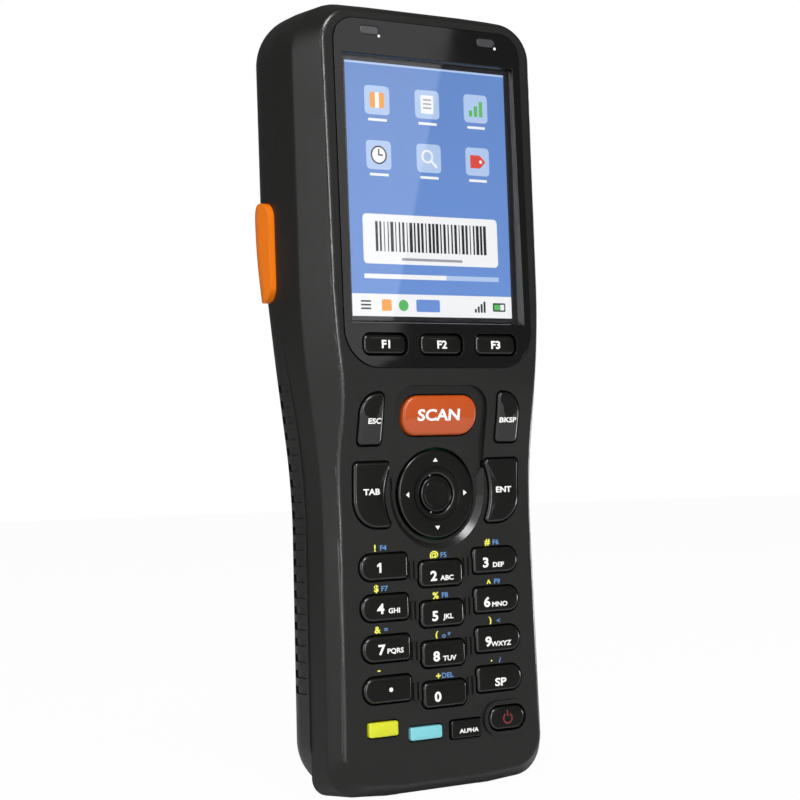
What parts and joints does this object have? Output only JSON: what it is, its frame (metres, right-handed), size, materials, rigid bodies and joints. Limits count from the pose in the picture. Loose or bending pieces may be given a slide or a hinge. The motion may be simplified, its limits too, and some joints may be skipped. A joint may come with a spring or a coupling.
{
  "type": "portable barcode data terminal",
  "caption": "Hand-held barcode data terminal with a waisted housing, touch screen, keyhole recess holding a scan key and a navigation disc, number keypad, side buttons and rear battery.",
  "frame": {"origin": "under the middle of the base, at the centre of the overall size in X and Y", "axes": "+Z from the base to the scanner end, +Y to the back, +X to the right of someone facing the screen"},
  "size_m": [0.0592, 0.0254, 0.1526],
  "materials": {
    "housing_plastic": "finely textured black moulding",
    "soft_rubber": "satin black",
    "key_plastic": "satin black with printed legends",
    "scan_orange": "satin orange",
    "key_yellow": "satin yellow",
    "key_blue": "satin pale blue",
    "button_orange": "satin orange",
    "bezel_gloss": "glossy black",
    "panel_glass": "clear touch panel",
    "display": "lit display face",
    "light_pipe": "smoked clear plastic",
    "scan_glass": "dark red filter window",
    "circuit_board": "green circuit board",
    "steel": "plain steel",
    "inner_plastic": "black engineering plastic",
    "contact_brass": "plated contacts"
  },
  "bodies": {
    "housing": {"front_shell": "housing_plastic", "rear_shell": "housing_plastic", "shell_gasket": "soft_rubber", "housing_screws": "steel", "bezel": "bezel_gloss", "led_windows": "light_pipe", "touch_panel": "panel_glass", "lcd_module": "display", "lcd_frame": "steel", "keypad_sheet": "soft_rubber", "keypad_board": "circuit_board", "dome_switches": "steel", "main_board": "circuit_board", "shield_can": "steel", "card_socket": "steel", "antenna": "inner_plastic", "vibration_motor": "steel", "speaker": "inner_plastic", "scan_engine": "inner_plastic", "scan_frame": "housing_plastic", "scan_window": "scan_glass", "side_switches": "inner_plastic", "battery_pack": "housing_plastic", "battery_contacts": "contact_brass", "dock_connector": "inner_plastic", "strap_bar": "steel", "usb_port": "inner_plastic"},
    "key_f1": {"key_f1": "key_plastic"},
    "key_f2": {"key_f2": "key_plastic"},
    "key_f3": {"key_f3": "key_plastic"},
    "key_scan": {"key_scan": "scan_orange"},
    "key_esc": {"key_esc": "key_plastic"},
    "key_bksp": {"key_bksp": "key_plastic"},
    "key_tab": {"key_tab": "key_plastic"},
    "key_ent": {"key_ent": "key_plastic"},
    "key_1": {"key_1": "key_plastic"},
    "key_2": {"key_2": "key_plastic"},
    "key_3": {"key_3": "key_plastic"},
    "key_4": {"key_4": "key_plastic"},
    "key_5": {"key_5": "key_plastic"},
    "key_6": {"key_6": "key_plastic"},
    "key_7": {"key_7": "key_plastic"},
    "key_8": {"key_8": "key_plastic"},
    "key_9": {"key_9": "key_plastic"},
    "key_dot": {"key_dot": "key_plastic"},
    "key_0": {"key_0": "key_plastic"},
    "key_space": {"key_space": "key_plastic"},
    "key_yellow": {"key_yellow": "key_yellow"},
    "key_blue": {"key_blue": "key_blue"},
    "key_alpha": {"key_alpha": "key_plastic"},
    "key_power": {"key_power": "key_plastic"},
    "side_button_left": {"side_button_left": "button_orange"},
    "side_button_right": {"side_button_right": "button_orange"},
    "battery_latch": {"battery_latch": "housing_plastic"},
    "port_cover": {"port_cover": "soft_rubber"},
    "nav_pivot": {"nav_pivot": "steel"},
    "nav_disc": {"nav_disc": "soft_rubber"},
    "nav_center": {"nav_center": "soft_rubber"}
  },
  "joints": [
    {"name": "key_f1_press", "type": "slide", "parent": "housing", "child": "key_f1", "axis": [0, 1, 0], "range_m": [0, 0.0005], "stiffness_N_per_m": 1000},
    {"name": "key_f2_press", "type": "slide", "parent": "housing", "child": "key_f2", "axis": [0, 1, 0], "range_m": [0, 0.0005], "stiffness_N_per_m": 1000},
    {"name": "key_f3_press", "type": "slide", "parent": "housing", "child": "key_f3", "axis": [0, 1, 0], "range_m": [0, 0.0005], "stiffness_N_per_m": 1000},
    {"name": "key_scan_press", "type": "slide", "parent": "housing", "child": "key_scan", "axis": [0, 1, 0], "range_m": [0, 0.0005], "stiffness_N_per_m": 1000},
    {"name": "key_esc_press", "type": "slide", "parent": "housing", "child": "key_esc", "axis": [0, 1, 0], "range_m": [0, 0.0005], "stiffness_N_per_m": 1000},
    {"name": "key_bksp_press", "type": "slide", "parent": "housing", "child": "key_bksp", "axis": [0, 1, 0], "range_m": [0, 0.0005], "stiffness_N_per_m": 1000},
    {"name": "key_tab_press", "type": "slide", "parent": "housing", "child": "key_tab", "axis": [0, 1, 0], "range_m": [0, 0.0005], "stiffness_N_per_m": 1000},
    {"name": "key_ent_press", "type": "slide", "parent": "housing", "child": "key_ent", "axis": [0, 1, 0], "range_m": [0, 0.0005], "stiffness_N_per_m": 1000},
    {"name": "key_1_press", "type": "slide", "parent": "housing", "child": "key_1", "axis": [0, 1, 0], "range_m": [0, 0.0005], "stiffness_N_per_m": 1000},
    {"name": "key_2_press", "type": "slide", "parent": "housing", "child": "key_2", "axis": [0, 1, 0], "range_m": [0, 0.0005], "stiffness_N_per_m": 1000},
    {"name": "key_3_press", "type": "slide", "parent": "housing", "child": "key_3", "axis": [0, 1, 0], "range_m": [0, 0.0005], "stiffness_N_per_m": 1000},
    {"name": "key_4_press", "type": "slide", "parent": "housing", "child": "key_4", "axis": [0, 1, 0], "range_m": [0, 0.0005], "stiffness_N_per_m": 1000},
    {"name": "key_5_press", "type": "slide", "parent": "housing", "child": "key_5", "axis": [0, 1, 0], "range_m": [0, 0.0005], "stiffness_N_per_m": 1000},
    {"name": "key_6_press", "type": "slide", "parent": "housing", "child": "key_6", "axis": [0, 1, 0], "range_m": [0, 0.0005], "stiffness_N_per_m": 1000},
    {"name": "key_7_press", "type": "slide", "parent": "housing", "child": "key_7", "axis": [0, 1, 0], "range_m": [0, 0.0005], "stiffness_N_per_m": 1000},
    {"name": "key_8_press", "type": "slide", "parent": "housing", "child": "key_8", "axis": [0, 1, 0], "range_m": [0, 0.0005], "stiffness_N_per_m": 1000},
    {"name": "key_9_press", "type": "slide", "parent": "housing", "child": "key_9", "axis": [0, 1, 0], "range_m": [0, 0.0005], "stiffness_N_per_m": 1000},
    {"name": "key_dot_press", "type": "slide", "parent": "housing", "child": "key_dot", "axis": [0, 1, 0], "range_m": [0, 0.0005], "stiffness_N_per_m": 1000},
    {"name": "key_0_press", "type": "slide", "parent": "housing", "child": "key_0", "axis": [0, 1, 0], "range_m": [0, 0.0005], "stiffness_N_per_m": 1000},
    {"name": "key_space_press", "type": "slide", "parent": "housing", "child": "key_space", "axis": [0, 1, 0], "range_m": [0, 0.0005], "stiffness_N_per_m": 1000},
    {"name": "key_yellow_press", "type": "slide", "parent": "housing", "child": "key_yellow", "axis": [0, 1, 0], "range_m": [0, 0.0005], "stiffness_N_per_m": 1000},
    {"name": "key_blue_press", "type": "slide", "parent": "housing", "child": "key_blue", "axis": [0, 1, 0], "range_m": [0, 0.0005], "stiffness_N_per_m": 1000},
    {"name": "key_alpha_press", "type": "slide", "parent": "housing", "child": "key_alpha", "axis": [0, 1, 0], "range_m": [0, 0.0005], "stiffness_N_per_m": 1000},
    {"name": "key_power_press", "type": "slide", "parent": "housing", "child": "key_power", "axis": [0, 1, 0], "range_m": [0, 0.0005], "stiffness_N_per_m": 1000},
    {"name": "side_button_left_press", "type": "slide", "parent": "housing", "child": "side_button_left", "axis": [1, 0, 0], "range_m": [0, 0.0007], "stiffness_N_per_m": 1500},
    {"name": "side_button_right_press", "type": "slide", "parent": "housing", "child": "side_button_right", "axis": [-1, 0, 0], "range_m": [0, 0.0007], "stiffness_N_per_m": 1500},
    {"name": "battery_latch_slide", "type": "slide", "parent": "housing", "child": "battery_latch", "axis": [0, 0, 1], "range_m": [0, 0.0026], "stiffness_N_per_m": 500},
    {"name": "port_cover_hinge", "type": "hinge", "parent": "housing", "child": "port_cover", "pos_m": [0.0239, -0.0044, 0.0245], "axis": [0, 1, 0], "range_deg": [0, 100]},
    {"name": "nav_tilt_up_down", "type": "hinge", "parent": "housing", "child": "nav_pivot", "pos_m": [0, -0.00655, 0.0574], "axis": [1, 0, 0], "range_deg": [-3, 3], "stiffness_Nm_per_rad": 0.2},
    {"name": "nav_tilt_left_right", "type": "hinge", "parent": "nav_pivot", "child": "nav_disc", "pos_m": [0, -0.00655, 0.0574], "axis": [0, 0, 1], "range_deg": [-3, 3], "stiffness_Nm_per_rad": 0.2},
    {"name": "nav_center_press", "type": "slide", "parent": "nav_disc", "child": "nav_center", "axis": [0, 1, 0], "range_m": [0, 0.0005], "stiffness_N_per_m": 1000}
  ]
}
